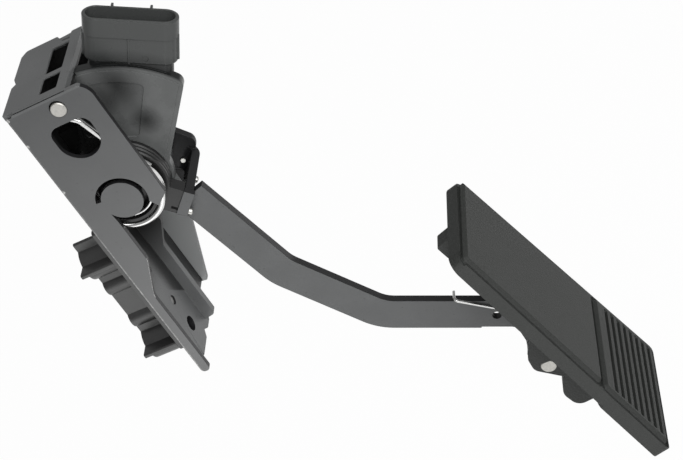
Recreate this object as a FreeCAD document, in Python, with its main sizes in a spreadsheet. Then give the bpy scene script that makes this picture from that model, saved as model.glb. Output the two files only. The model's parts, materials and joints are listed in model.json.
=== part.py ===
import FreeCAD, Part
import math
import os

# Accelerator pedal module: bracket, sensor, return springs, riveted arm and hinged foot pad.
# X points to the driver, Y to the driver's right and Z up. The origin is the middle of the
# two bolts on the mounting face. Most pieces are drawn about the pedal's pivot, and the foot
# pad's pieces are drawn about its hinge pin.

Vector = FreeCAD.Vector
document = FreeCAD.newDocument("accelerator_pedal_sensor")

# Driving dimensions in millimetres and degrees

SIZES = {
    # pivot, from the mounting pattern
    "pivot_forward": 46.3, "pivot_left": 17.45, "pivot_height": 65.75,
    # bracket
    "wall": 3.2, "back_depth": 24.1, "web_wall": 3.6, "top_height": 67.3, "foot_depth": 117.0,
    "bracket_width": 61.7, "front_depth": 22.0, "top_lip": 2.5, "top_front": 4.5,
    "bar_depth": 5.6, "bar_height": 4.6, "window_radius": 11.1, "window_height": 41.0,
    "rim_depth": 18.8, "waist_depth": 9.0, "waist_height": 37.7, "taper_height": 59.6,
    "rim_start": 34.0, "rim_wall": 4.6, "rim_height": 6.4, "rim_foot": 107.5, "rim_top": 31.0,
    "web_foot": 111.8, "relief_height": 13.6, "relief_width": 49.6,
    "keyhole_radius": 13.45, "disc_radius": 10.8, "disc_depth": 4.6, "plate_skin": 1.1,
    # mounting spacer, bolts and sleeves
    "bolt_spacing": 60.9, "bolt_hole_radius": 4.2, "lower_bolt": 96.2, "boss_radius": 10.2,
    "spacer_bar": 2.3, "spacer_top": 20.6, "spacer_foot": 106.5, "base_plate": 2.2,
    "base_width": 34.0, "base_top": 11.0, "base_foot": 98.5, "ridge_radius": 5.7,
    "upper_ridge": 53.4, "lower_ridge": 77.9, "wing": 2.8, "sleeve_wall": 1.8,
    "pin_radius": 2.6, "pin_recess": 1.0,
    # cross pin and axle
    "cross_pin_radius": 4.1, "cross_pin_forward": 2.2, "cross_pin_height": 59.8,
    "cross_pin_end": 17.2, "pin_lug_start": 13.6, "axle_radius": 5.0, "axle_start": 1.4,
    "axle_end": 65.0, "fit": 0.04, "gap": 0.3, "clip_groove": 0.7, "clip_width": 1.0,
    # hub, springs and bushes
    "drum_start": 5.2, "drum_radius": 17.8, "drum_wall": 1.8, "collar_start": 11.9,
    "collar_end": 20.2, "collar_radius": 22.9, "bush_wall": 1.6, "wire_radius": 1.3,
    "coil_radius": 19.7, "coil_pitch": 2.7, "inner_wire_radius": 0.9, "inner_coil_radius": 14.2,
    "inner_coil_pitch": 2.0,
    # yoke
    "strap_inner": 29.4, "strap_outer": 33.9, "strap_low": 7.6, "strap_high": 7.0,
    "strap_start": 11.2, "strap_end": 3.8, "strap_step": 0.6, "strap_angle": 47.0,
    "strap_bend": 8.0, "cheek_start": 50.8, "cheek_end": 55.2, "cheek_radius": 12.5,
    "stop_reach": 18.4, "stop_half": 2.8, "bumper_gap": 0.3, "bumper_height": 6.0,
    "bumper_reach": 3.9, "travel": 18.0,
    # arm
    "arm_start": 15.0, "arm_thickness": 5.0, "arm_width": 18.6, "bend_radius": 26.0,
    "eye_radius": 8.4, "small_hole_forward": 128.8, "small_hole_drop": 164.5,
    "small_hole_radius": 2.4, "rivet_radius": 1.3, "rivet_head": 1.9, "rivet_height": 2.2,
    "rivet_tail": 1.0,
    # sensor
    "sensor_start": 20.6, "sensor_flange": 5.8, "sensor_split": 44.0, "cover": 3.0,
    "flange_step": 0.5, "flange_rim": 2.4,
    "fan_radius": 65.5, "fan_tangent": 19.4, "fan_half_angle": 9.4, "sensor_hub": 24.0,
    "fan_step": 7.5, "sensor_wall": 2.4,
    "panel_depth": 0.7, "connector_angle": 58.7, "rotor_radius": 14.0, "shroud_base": 67.0,
    "shroud_top": 91.8, "shroud_low": 20.0, "shroud_high": 26.0, "shroud_start": 20.2,
    "shroud_depth": 13.2, "shroud_wall": 1.2, "shroud_neck": 2.2, "collar_height": 10.0,
    "collar_step": 0.5, "terminal": 0.64, "terminal_pitch": 3.8,
    # foot pad
    "pad_forward": 141.3, "pad_drop": 202.1, "pad_tilt": 15.08, "pad_centre": 17.5,
    "pad_face": 23.65, "pad_thickness": 7.5, "pad_above": 100.1, "pad_length": 170.0,
    "pad_top_width": 69.9, "pad_foot_width": 83.0, "pad_offset": 1.9, "pad_corner": 8.0,
    "foot_corner": 3.5, "foot_start": 119.5, "foot_extra": 1.4,
    "island": 1.8, "island_inset": 2.7, "island_taper": 43.0, "island_groove": 2.2,
    "groove_depth": 1.5, "plateau_length": 111.7, "ribbed_start": 114.1, "rib_start": 123.4,
    "rib_pitch": 5.49, "rib_slot": 2.7, "rib_depth": 2.0, "rib_border": 6.0,
    "hinge_radius": 2.9,
    "lug_wall": 2.8, "hinge_head": 4.3, "keeper": 1.7, "pad_wire_radius": 0.8,
    "pad_coil_radius": 4.3, "pad_coil_room": 4.5, "leg_forward": 113.4, "leg_drop": 144.3,
    "leg_bend_drop": 171.4, "leg_overhang": 1.5, "leg_bend": 2.4, "leg_foot": 14.4,
}

sheet = document.addObject("Spreadsheet::Sheet", "sizes")
for row, (alias, value) in enumerate(SIZES.items(), start=1):
    sheet.set("A%d" % row, alias)
    sheet.set("B%d" % row, str(value))
    sheet.setAlias("B%d" % row, alias)
document.recompute()

parts = []


def size(alias):
    return float(sheet.get(alias))


def place(piece, label, frame="pivot"):
    """Name a piece and put it at the pivot or at the foot pad's hinge pin."""
    piece.Label = label
    forward, left, height = "sizes.pivot_forward", "-sizes.pivot_left", "sizes.pivot_height"
    if frame == "pad":
        forward += " + sizes.pad_forward"
        left += " + sizes.pad_centre"
        height += " - sizes.pad_drop"
        piece.Placement.Rotation = FreeCAD.Rotation(Vector(0, 1, 0), -size("pad_tilt"))
    piece.setExpression("Placement.Base.x", forward)
    piece.setExpression("Placement.Base.y", left)
    piece.setExpression("Placement.Base.z", height)
    parts.append(piece)
    return piece


def new_body(label, frame="pivot"):
    return place(document.addObject("PartDesign::Body", label), label, frame)


def keep_shape(label, shape, frame="pivot"):
    feature = document.addObject("Part::Feature", label)
    feature.Shape = Part.Compound(shape.Solids)
    return place(feature, label, frame)


# Outlines

def rounded(points, loop=True):
    """Outline through (x, y, corner radius) points, as lines and tangent arcs."""
    corners = []
    count = len(points)
    for index, (x, y, radius) in enumerate(points):
        here = Vector(x, y, 0)
        before = Vector(points[index - 1][0], points[index - 1][1], 0) - here
        after_point = points[(index + 1) % count]
        after = Vector(after_point[0], after_point[1], 0) - here
        if radius == 0:
            corners.append((here, here, None))
            continue
        before.normalize()
        after.normalize()
        half = before.getAngle(after) / 2
        reach = radius / math.tan(half)
        middle = (before + after).normalize()
        middle = here + middle * (radius / math.sin(half) - radius)
        corners.append((here + before * reach, here + after * reach, middle))
    curves = []
    for index, (start, end, middle) in enumerate(corners):
        if middle is not None:
            curves.append(Part.Arc(start, middle, end))
        following = corners[(index + 1) % count][0]
        if end.distanceToPoint(following) > 1e-6 and (loop or index < count - 1):
            curves.append(Part.LineSegment(end, following))
    return curves


def circle(x, y, radius):
    return Part.Circle(Vector(x, y, 0), Vector(0, 0, 1), radius)


def polar(radius, degrees):
    angle = math.radians(degrees)
    return Vector(radius * math.cos(angle), radius * math.sin(angle), 0)


def arc(radius, start, end):
    return Part.Arc(polar(radius, start), polar(radius, (start + end) / 2), polar(radius, end))


def line(start, end):
    return Part.LineSegment(start, end)


def rectangle(left, bottom, right, top, radius=0):
    return rounded([(left, bottom, radius), (right, bottom, radius),
                    (right, top, radius), (left, top, radius)])


def ribbon(path, half_width, bend, end_radius):
    """Outline of a flat bar along a bent path, with rounded far end."""
    left, right = [], []
    for index, point in enumerate(path):
        ahead = path[min(index + 1, len(path) - 1)] - path[min(index, len(path) - 2)]
        behind = path[max(index, 1)] - path[max(index - 1, 0)]
        ahead.normalize()
        behind.normalize()
        side = Vector(-(ahead.y + behind.y), ahead.x + behind.x, 0).normalize()
        inner = index in (0, len(path) - 1)
        mitre = half_width if inner else half_width / side.dot(Vector(-ahead.y, ahead.x, 0))
        turn = behind.cross(ahead).z
        outside = 0 if inner else bend + half_width * (-1 if turn > 0 else 1)
        inside = 0 if inner else bend + half_width * (1 if turn > 0 else -1)
        left.append((point + side * mitre, outside))
        right.append((point - side * mitre, inside))
    outline = left + right[::-1]
    last = len(path) - 1
    points = [(spot.x, spot.y, radius) for spot, radius in outline]
    for index in (last, last + 1):
        points[index] = (points[index][0], points[index][1], end_radius)
    return rounded(points)


# Features of a body, always extruded toward the positive side of their plane

def sketch_on(body, name, plane, curves, start):
    sketch = body.newObject("Sketcher::SketchObject", name)
    origin = [item for item in body.Origin.OriginFeatures if item.Role == plane][0]
    sketch.AttachmentSupport = [(origin, "")]
    sketch.MapMode = "FlatFace"
    sign = "-" if plane == "XZ_Plane" else ""
    sketch.setExpression("AttachmentOffset.Base.z", "%s(%s)" % (sign, start))
    sketch.addGeometry(curves, False)
    sketch.Visibility = False
    return sketch


def extrude(body, name, plane, curves, start, length, cut=False):
    sketch = sketch_on(body, name + "_outline", plane, curves, start)
    feature = body.newObject("PartDesign::Pocket" if cut else "PartDesign::Pad", name)
    feature.Profile = sketch
    feature.setExpression("Length", length)
    feature.Reversed = (plane == "XZ_Plane") != cut
    return feature


def side_pad(body, name, curves, start, length):
    return extrude(body, name, "XZ_Plane", curves, start, length)


def side_cut(body, name, curves, start, length):
    return extrude(body, name, "XZ_Plane", curves, start, length, True)


# Plain solids about an axis along Y

def rod(radius, start, end, x=0.0, z=0.0):
    return Part.makeCylinder(radius, end - start, Vector(x, start, z), Vector(0, 1, 0))


def tube(outer, inner, start, end, x=0.0, z=0.0):
    return rod(outer, start, end, x, z).cut(rod(inner, start - 1, end + 1, x, z))


def block(low, high):
    low = Vector(*low)
    high = Vector(*high)
    return Part.makeBox(high.x - low.x, high.y - low.y, high.z - low.z, low)


# Bracket

def bracket():
    body = new_body("bracket")
    back, top, foot = size("back_depth"), size("top_height"), size("foot_depth")
    front, rim = size("front_depth"), size("rim_depth")
    waist, waist_height, taper = size("waist_depth"), size("waist_height"), size("taper_height")
    disc, keyhole = size("disc_radius"), size("keyhole_radius")
    floor = back - size("web_wall")

    slot_left, slot_right, hook = 150, -29, 209
    upper = [line(Vector(-back, top - 4, 0), Vector(-back + 4, top, 0)),
             line(Vector(-back + 4, top, 0), Vector(front - 5, top, 0)),
             Part.Arc(Vector(front - 5, top, 0), Vector(front - 1.4, top - 3.4, 0),
                      Vector(front, top - 10, 0)),
             line(Vector(front, top - 10, 0), Vector(front, -5.6, 0)),
             line(Vector(front, -5.6, 0), Vector(14.6, -11.3, 0)),
             line(Vector(14.6, -11.3, 0), polar(keyhole, slot_right)),
             arc(keyhole, slot_right, slot_left),
             line(polar(keyhole, slot_left), polar(keyhole, slot_left + 12)),
             line(polar(keyhole, slot_left + 12), polar(disc, slot_left + 9)),
             arc(disc, slot_left + 9, hook - 360)]
    neck = polar(disc, hook)
    lower = rounded([(neck.x, neck.y, 0), (-waist, -12, 6), (-waist, -waist_height, 10),
                     (-rim, -taper, 12), (-rim, -foot, 2.4), (-back, -foot, 2.4),
                     (-back, top - 4, 0)], loop=False)
    side_pad(body, "near_flange", upper + lower, "0", "sizes.wall")

    width, web_foot = size("bracket_width"), -size("web_foot")
    rim_far = size("rim_start") + size("rim_wall")
    web = rounded([(0, top - 1, 0), (0, web_foot + 6, 0), (7, web_foot, 3), (22, web_foot, 1),
                   (25.5, web_foot + 3, 1), (30, web_foot, 2), (rim_far, web_foot, 2),
                   (rim_far, -100.2, 1), (width, -100.2, 0), (width, top - 1, 0)])
    extrude(body, "web", "YZ_Plane", web, "-sizes.back_depth", "sizes.web_wall")

    rim_front = size("rim_height") - floor
    rim_wall = rounded([(-back, -size("rim_top"), 0), (-waist, -size("rim_top"), 3),
                        (-waist + 3, -waist_height - 1.5, 4), (rim_front, -54.5, 8),
                        (rim_front, -size("rim_foot"), 2.2), (-back, -size("rim_foot") - 2, 0)])
    side_pad(body, "inner_rim", rim_wall, "sizes.rim_start", "sizes.rim_wall")

    outer_wall = rounded([(-back, top - 1, 0), (8, top - 1, 0), (16, 20, 12), (14, -14, 12),
                          (-3.6, -62, 12), (-17.5, -101.4, 1.2), (-back, -100.2, 0)])
    side_pad(body, "outer_wall", outer_wall, "sizes.bracket_width - sizes.wall", "sizes.wall")

    lip, plate_front = size("top_lip"), size("top_front")
    plate = rounded([(-back - lip, 3.4, 1), (plate_front, 3.4, 0), (plate_front, 54.4, 0.6),
                     (-1, 55.2, 2), (-5.2, width + 0.9, 2), (-back, width + 0.9, 2.5),
                     (-back - lip, 58, 0), (-back - lip, 37, 1), (-back - 0.4, 31.5, 0.5),
                     (-back - lip, 29, 1)])
    extrude(body, "top_plate", "XY_Plane", plate, "sizes.top_height - sizes.wall", "sizes.wall")
    bar = rectangle(plate_front - 1, 1, plate_front + size("bar_depth"), width, 1.2)
    extrude(body, "front_bar", "XY_Plane", bar, "sizes.top_height - sizes.bar_height",
            "sizes.bar_height")
    lug = rounded([(-6.5, top - 1.5, 0), (-6.5, 54, 4), (9.5, 54, 4), (9.5, top - 1.5, 0)])
    side_pad(body, "pin_lug", lug, "sizes.pin_lug_start", "sizes.wall")
    side_pad(body, "disc_boss", [circle(0, 0, disc - 1.6)], "sizes.wall - 0.5",
             "sizes.disc_depth - sizes.wall + 0.5")

    radius, height = size("window_radius"), size("window_height")
    window = rounded([(0.9 - radius, height + 10.5, 5.5), (0.9 + radius, height + 10.5, 5.5),
                      (0.9 + radius, height - radius, radius - 0.01),
                      (0.9 - radius, height - radius, radius - 0.01)])
    side_cut(body, "flange_window", window, "-1", "sizes.wall + 2")
    pin_x, pin_z = size("cross_pin_forward"), size("cross_pin_height")
    pin_hole = size("cross_pin_radius") + size("fit")
    slot = [Part.Arc(Vector(pin_x - pin_hole, pin_z, 0), Vector(pin_x, pin_z - pin_hole, 0),
                     Vector(pin_x + pin_hole, pin_z, 0)),
            line(Vector(pin_x + pin_hole, pin_z, 0), Vector(pin_x + pin_hole, pin_z + 0.9, 0)),
            Part.Arc(Vector(pin_x + pin_hole, pin_z + 0.9, 0),
                     Vector(pin_x, pin_z + 0.9 + pin_hole, 0),
                     Vector(pin_x - pin_hole, pin_z + 0.9, 0)),
            line(Vector(pin_x - pin_hole, pin_z + 0.9, 0), Vector(pin_x - pin_hole, pin_z, 0))]
    side_cut(body, "cross_pin_slot", slot, "-1", "sizes.wall + 2")
    side_cut(body, "cross_pin_socket", [circle(pin_x, pin_z, pin_hole)], "-1",
             "sizes.cross_pin_end + 2")
    bore = size("axle_radius") + size("fit")
    side_cut(body, "axle_socket", [circle(0, 0, bore)], "sizes.axle_start", "8")
    side_cut(body, "axle_hole", [circle(0, 0, bore)], "sizes.bracket_width - 8", "10")

    windows = (rectangle(-6.1, 8.6, plate_front - 0.4, 23.5, 0.6)
               + rectangle(-6.1, 27.0, plate_front - 0.4, 52.0, 0.6))
    extrude(body, "top_windows", "XY_Plane", windows, "sizes.top_height - 8", "10", True)
    under = rectangle(-9.5, size("wall") + 2, plate_front - 0.4, 55)
    extrude(body, "window_skin", "XY_Plane", under, "sizes.top_height - sizes.wall - 1",
            "sizes.wall + 1 - sizes.plate_skin", True)
    spacer_centre = size("pivot_left")
    lower_bolt = -size("lower_bolt")
    hole = size("bolt_hole_radius")
    holes = [circle(spacer_centre, lower_bolt, hole),
             circle(spacer_centre, lower_bolt + size("bolt_spacing"), hole)]
    for ridge in (size("upper_ridge"), size("lower_ridge")):
        holes.append(circle(spacer_centre, -ridge, size("pin_radius") + size("fit")))
    extrude(body, "web_holes", "YZ_Plane", holes, "-sizes.back_depth - 1", "8", True)
    relief = rectangle(size("wall") + 0.8, -size("relief_height"), size("relief_width"),
                       size("relief_height"), 2)
    extrude(body, "web_relief", "YZ_Plane", relief, "-sizes.back_depth - 1", "8", True)
    return body


# Mounting spacer behind the web

def mounting_spacer():
    body = new_body("mounting_spacer")
    centre, near = size("pivot_left"), size("pivot_left") - 3.5
    lower = -size("lower_bolt")
    upper = lower + size("bolt_spacing")
    thickness = "sizes.pivot_forward - sizes.back_depth - sizes.base_plate"
    start = "-sizes.pivot_forward"
    bar = rectangle(near, -size("spacer_foot"), near + size("spacer_bar"), -size("spacer_top"), 1)
    extrude(body, "bar", "YZ_Plane", bar, start, thickness)
    for name, height in (("upper", upper), ("lower", lower)):
        extrude(body, name + "_boss", "YZ_Plane", [circle(centre, height, size("boss_radius"))],
                start, thickness)
        wing_top = height + 1.1 + size("wing")
        wing = rectangle(centre - 17.2, wing_top - size("wing"), centre + 17.2, wing_top, 1)
        extrude(body, name + "_wing", "YZ_Plane", wing, start, thickness)
    for name, height in (("upper", size("upper_ridge")), ("lower", size("lower_ridge"))):
        extrude(body, name + "_ridge", "YZ_Plane", [circle(centre, -height, size("ridge_radius"))],
                start, thickness)
    half_base = size("base_width") / 2
    base = rectangle(centre - half_base, -size("base_foot"), centre + half_base,
                     -size("base_top"), 2)
    extrude(body, "base_plate", "YZ_Plane", base, "-sizes.back_depth - sizes.base_plate",
            "sizes.base_plate")
    sleeve = size("bolt_hole_radius") + size("sleeve_wall") + size("fit")
    holes = [circle(centre, upper, sleeve), circle(centre, lower, sleeve)]
    for ridge in (size("upper_ridge"), size("lower_ridge")):
        holes.append(circle(centre, -ridge, size("pin_radius") + size("fit")))
    extrude(body, "bores", "YZ_Plane", holes, "-sizes.pivot_forward - 1",
            "sizes.pivot_forward", True)
    return body


def along_x(radius, start, end, y, z):
    return Part.makeCylinder(radius, end - start, Vector(start, y, z), Vector(1, 0, 0))


def mounting_sleeves():
    sleeves = []
    for height in (-size("lower_bolt"), -size("lower_bolt") + size("bolt_spacing")):
        ends = (-size("pivot_forward"), -size("back_depth"))
        outer = size("bolt_hole_radius") + size("sleeve_wall")
        tube_shape = along_x(outer, ends[0], ends[1], size("pivot_left"), height)
        bore = along_x(size("bolt_hole_radius"), ends[0] - 1, ends[1] + 1, size("pivot_left"), height)
        sleeves.append(tube_shape.cut(bore))
    return keep_shape("mounting_sleeves", Part.makeCompound(sleeves))


def locating_pins():
    floor = size("web_wall") - size("back_depth")
    pins = []
    for ridge in (size("upper_ridge"), size("lower_ridge")):
        pins.append(along_x(size("pin_radius"), -size("pivot_forward") + 2,
                            floor - size("pin_recess"), size("pivot_left"), -ridge))
    return keep_shape("locating_pins", Part.makeCompound(pins))


# Cross pin, axle, bushes and clips

def revolved(points):
    """Turned piece about the Y axis from (radius, y) points."""
    face = Part.Face(Part.makePolygon([Vector(r, y, 0) for r, y in points + points[:1]]))
    return face.revolve(Vector(0, 0, 0), Vector(0, 1, 0), 360)


def cross_pin():
    radius, end = size("cross_pin_radius"), size("cross_pin_end")
    shape = revolved([(0, -0.6), (radius - 0.4, -0.6), (radius, -0.2), (radius, end - 0.6),
                      (radius - 0.6, end), (0, end)])
    shape.translate(Vector(size("cross_pin_forward"), 0, size("cross_pin_height")))
    return keep_shape("cross_pin", shape)


def pivot_axle():
    radius, end, depth = size("axle_radius"), size("axle_end"), size("clip_groove")
    groove = size("bracket_width") + size("fit")
    width = size("clip_width") + 2 * size("fit")
    points = [(0, size("axle_start") + 0.1), (radius - 0.5, size("axle_start") + 0.1),
              (radius, size("axle_start") + 0.6), (radius, groove), (radius - depth, groove),
              (radius - depth, groove + width), (radius, groove + width), (radius, end - 0.6),
              (radius - 0.6, end), (0, end)]
    return keep_shape("pivot_axle", revolved(points))


def axle_clip():
    start = size("bracket_width") + 2 * size("fit")
    inner = size("axle_radius") - size("clip_groove") + size("fit")
    ring = tube(size("axle_radius") + 2.6, inner, start, start + size("clip_width"))
    mouth = block((-2.2, start - 1, 0), (2.2, start + 2, 12))
    return keep_shape("axle_clip", ring.cut(mouth))


def bushes():
    outer = size("axle_radius") + size("bush_wall")
    inner = size("axle_radius") + size("fit")
    near = tube(outer, inner, size("drum_start"), size("collar_end") - 2.6)
    keep_shape("near_bush", near)
    far = tube(outer, inner, size("cheek_start"), size("cheek_end"))
    washer = tube(outer + 3, inner, size("cheek_end"),
                  size("bracket_width") - size("wall") - size("gap") / 2)
    keep_shape("far_bush", far.fuse(washer).removeSplitter())


# Hub that the arm turns on

# Two rivets through the strap, across it and along Y, and one through the cheek
RIVETS = [(-4.7, 13.0), (0.8, 33.0)]
CHEEK_RIVET = (-1.8, 26.9)


def strap_point(across, radial):
    """Point of the yoke's strap: across it, and out from the pivot square to it."""
    angle = math.radians(size("strap_angle"))
    return Vector(across * math.sin(angle) + radial * math.cos(angle),
                  across * math.cos(angle) - radial * math.sin(angle), 0)


def lever_hub():
    body = new_body("lever_hub")
    bush = size("axle_radius") + size("bush_wall") + size("fit")
    drum, wall = size("drum_radius"), size("drum_wall")
    start, collar, end = size("drum_start"), size("collar_start"), size("collar_end")
    radius = size("collar_radius")
    profile = [(bush, start), (bush + wall, start), (bush + wall, collar), (drum - wall, collar),
               (drum - wall, start), (drum, start)]
    for index in range(2):
        step = start + 2.0 + 2.2 * index
        profile += [(drum, step), (drum - 0.5, step + 0.3), (drum - 0.5, step + 0.7),
                    (drum, step + 1.0)]
    profile += [(drum, collar), (radius - 0.8, collar), (radius, collar + 0.8)]
    for index in range(2):
        step = collar + 2.0 + 2.6 * index
        profile += [(radius, step), (radius - 0.8, step + 0.5), (radius - 0.8, step + 1.1),
                    (radius, step + 1.6)]
    profile += [(radius, end), (bush, end)]
    corners = [Vector(r, y, 0) for r, y in profile]
    outline = [line(a, b) for a, b in zip(corners, corners[1:] + corners[:1])]
    sketch = sketch_on(body, "turning", "XY_Plane", outline, "0")
    turned = body.newObject("PartDesign::Revolution", "turned")
    turned.Profile = sketch
    turned.ReferenceAxis = (sketch, ["V_Axis"])
    turned.Angle = 360

    inner = size("strap_inner") - size("strap_step")
    lug = closed([strap_point(-size("strap_low"), inner), strap_point(-size("strap_low"), 12),
                  strap_point(size("strap_high"), 12), strap_point(size("strap_high"), inner)])
    side_pad(body, "rivet_lug", lug, "sizes.collar_start", "sizes.collar_end - sizes.collar_start")
    rivet_hole(body, "rivet_hole", *RIVETS[0])
    rotor_seat = size("axle_radius") + size("bush_wall") + 2.4 + size("fit")
    side_cut(body, "rotor_seat", [circle(0, 0, rotor_seat)], "sizes.collar_end - 2.4", "4")
    return body


# Coil springs round the hub

COIL_STEP = 18


def bent(corners, radius):
    """Edges along a path of straight runs, with each corner rounded to the radius."""
    edges = []
    last = corners[0]
    for before, here, after in zip(corners, corners[1:], corners[2:]):
        back = (before - here).normalize()
        on = (after - here).normalize()
        half = back.getAngle(on) / 2
        reach = radius / math.tan(half)
        middle = here + (back + on).normalize() * (radius / math.sin(half) - radius)
        start, end = here + back * reach, here + on * reach
        edges += [line(last, start), Part.Arc(start, middle, end)]
        last = end
    return [curve.toShape() for curve in edges + [line(last, corners[-1])]]


def turns(radius, first, angle, start, end, x=0.0, z=0.0):
    """Edge of a coil round an axis along Y, from one angle through a turn."""
    step = math.copysign(COIL_STEP, angle)
    count = round(angle / step)
    spots = []
    for index in range(count + 1):
        spot = polar(radius, first + step * index)
        spots.append(Vector(x + spot.x, start + (end - start) * index / count, z + spot.y))
    curve = Part.BSplineCurve()
    curve.interpolate(spots)
    return curve.toShape()


def round_wire(edges, radius):
    """Round wire along a chain of edges."""
    start = edges[0].valueAt(edges[0].FirstParameter)
    along = edges[0].tangentAt(edges[0].FirstParameter)
    ring = Part.Wire(Part.Circle(start, along, radius).toShape())
    return Part.Wire(edges).makePipeShell([ring], True, False)


def return_springs():
    wire, radius, pitch = size("wire_radius"), size("coil_radius"), size("coil_pitch")
    start = size("wall") + wire + size("gap")
    pin = Vector(size("cross_pin_forward"), start, size("cross_pin_height"))
    beside = pin.x - size("cross_pin_radius") - wire - size("fit")
    leave = 18
    top = polar(radius, leave)
    hook = [Vector(beside, start, pin.z + 1.5), Vector(beside, start, pin.z - 4.2),
            Vector(5.2, start, 47.6), Vector(top.x, start, top.y)]
    path = bent(hook, 5) + [turns(radius, leave, -720, start, start + 2 * pitch)]
    keep_shape("return_spring_outer", round_wire(path, wire))
    inner = size("inner_wire_radius")
    low = size("drum_start") + inner + 0.2
    coil = turns(size("inner_coil_radius"), 0, -720, low, low + 2 * size("inner_coil_pitch"))
    keep_shape("return_spring_inner", round_wire([coil], inner))


# Steel arm with its cross strap and far cheek, welded as one

ARM_BENDS = [(24.0, -21.6), (41.3, -86.0), (74.6, -136.2), (122.0, -160.5)]
ARM_FOOT = [(118.0, -168.0, 0), (134.8, -176.6, 5), (135.4, -202.1, 0), (148.6, -202.1, 0),
            (147.8, -176.0, 8), (144.0, -161.3, 10), (126.0, -152.0, 0)]


def along_strap(shape):
    """Turn a shape drawn with Z out from the pivot and X down the strap."""
    shape.rotate(Vector(0, 0, 0), Vector(0, 1, 0), 90 + size("strap_angle"))
    return shape


def hollow_corner(low, high, radius, side, out):
    """Square corner bar, less the round of a bend, whose middle is at (side, out)."""
    bar = block((-high, min(side, side + radius), min(out, out + radius)),
                (low, max(side, side + radius) + 1, max(out, out + radius) + 1))
    round_bar = Part.makeCylinder(radius, low + high + 2, Vector(-high - 1, side, out),
                                  Vector(1, 0, 0))
    return along_strap(bar.cut(round_bar))


def strap_outline(inner, outer, extra=0.0):
    low, high = size("strap_low"), size("strap_high") + extra
    return closed([strap_point(-low, inner), strap_point(high, inner),
                   strap_point(high, outer), strap_point(-low, outer)])


def pedal_arm():
    inner, outer = size("strap_inner"), size("strap_outer")
    low, high, step = size("strap_low"), size("strap_high"), size("strap_step")
    start, near, far = size("strap_start"), size("cheek_start"), size("cheek_end")
    end_block = strap_outline(inner - step, outer + step, step / 2)
    solid = extruded(end_block, start, start + size("strap_end"))
    solid = solid.fuse(extruded(strap_outline(inner, outer), start + 1, far))

    radius, reach, half = size("cheek_radius"), size("stop_reach"), size("stop_half")
    lower = strap_point(-low, outer)
    cheek = rounded([(lower.x, lower.y, 2), (29.8, -13.4, 5), (20, -0.5, 10), (6, radius, 6),
                     (-radius, radius, 9), (-radius, half, 0), (-reach, half, 1),
                     (-reach, -half, 1), (-radius, -half, 0), (-radius, -radius, 9),
                     (2, -18, 6)])
    solid = solid.fuse(extruded(cheek, near, far))
    bend = size("strap_bend")
    solid = solid.cut(hollow_corner(25, 25, bend, far - bend, outer - bend))
    inside = bend - (far - near)
    web = hollow_corner(low, high, inside, near - inside, inner - inside)
    solid = solid.fuse(web)

    side, thickness = size("arm_start"), size("arm_thickness")
    path = [Vector(x, z, 0) for x, z in ARM_BENDS]
    bar = extruded(ribbon(path, size("arm_width") / 2, size("bend_radius"), 0), side,
                   side + thickness)
    eye_x, eye_z = size("pad_forward"), -size("pad_drop")
    bar = bar.fuse(extruded(rounded(ARM_FOOT), side, side + thickness))
    bar = bar.fuse(rod(size("eye_radius"), side, side + thickness, eye_x, eye_z))
    space = closed([strap_point(-20, inner), strap_point(20, inner),
                    strap_point(20, 0), strap_point(-20, 0)])
    bar = bar.cut(extruded(space, side - 1, side + thickness + 1))
    pin_hole = size("hinge_radius") + size("fit")
    bar = bar.cut(rod(pin_hole, side - 1, side + thickness + 1, eye_x, eye_z))
    bar = bar.cut(rod(size("small_hole_radius"), side - 1, side + thickness + 1,
                      size("small_hole_forward"), -size("small_hole_drop")))
    solid = solid.fuse(bar)
    bore = size("axle_radius") + size("bush_wall") + size("fit")
    solid = solid.cut(rod(bore, near - 1, far + 1))
    for shank in rivets(size("rivet_radius"), 0, 0):
        solid = solid.cut(shank)
    return keep_shape("pedal_arm", solid.removeSplitter())


# Rivets

def rivet_hole(body, name, across, side):
    """Hole through the hub's lug, square to the strap."""
    hole = body.newObject("PartDesign::SubtractiveCylinder", name)
    hole.setExpression("Radius", "sizes.rivet_radius")
    hole.setExpression("Height", "sizes.strap_outer - sizes.strap_inner + 8")
    start = strap_point(across, size("strap_inner") - 4)
    turn = FreeCAD.Rotation(Vector(0, 1, 0), 90 + size("strap_angle"))
    hole.AttachmentOffset = FreeCAD.Placement(Vector(start.x, side, start.y), turn)
    hole.Placement = hole.AttachmentOffset


def closed(corners):
    return [line(a, b) for a, b in zip(corners, corners[1:] + corners[:1])]


def turned_rivet(radius, start, end, head, height):
    """Shank along Z from start to end, with a round head beyond the end."""
    shape = Part.makeCylinder(radius, end - start, Vector(0, 0, start))
    if head:
        cap = Part.makeCylinder(head, height, Vector(0, 0, end))
        top = [edge for edge in cap.Edges if edge.BoundBox.ZMin > end + height / 2]
        shape = shape.fuse(cap.makeFillet(height * 0.45, top)).removeSplitter()
    return shape


def rivets(radius, head, height):
    """Rivets with heads outside the strap and the cheek, or only their shanks."""
    inner, outer, step = size("strap_inner"), size("strap_outer"), size("strap_step")
    tail = size("rivet_tail") if head else 4
    (low, near), (high, far) = RIVETS
    shapes = [(turned_rivet(radius, inner - 4, outer + step, head, height), low, near),
              (turned_rivet(radius, inner - tail, outer, head, height), high, far)]
    placed = []
    for shape, across, side in shapes:
        shape.translate(Vector(-across, side, 0))
        placed.append(along_strap(shape))
    spot = strap_point(*CHEEK_RIVET)
    shape = turned_rivet(radius, -tail, size("cheek_end") - size("cheek_start"), head, height)
    shape.rotate(Vector(0, 0, 0), Vector(1, 0, 0), -90)
    shape.translate(Vector(spot.x, size("cheek_start"), spot.y))
    return placed + [shape]


# Position sensor

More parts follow.
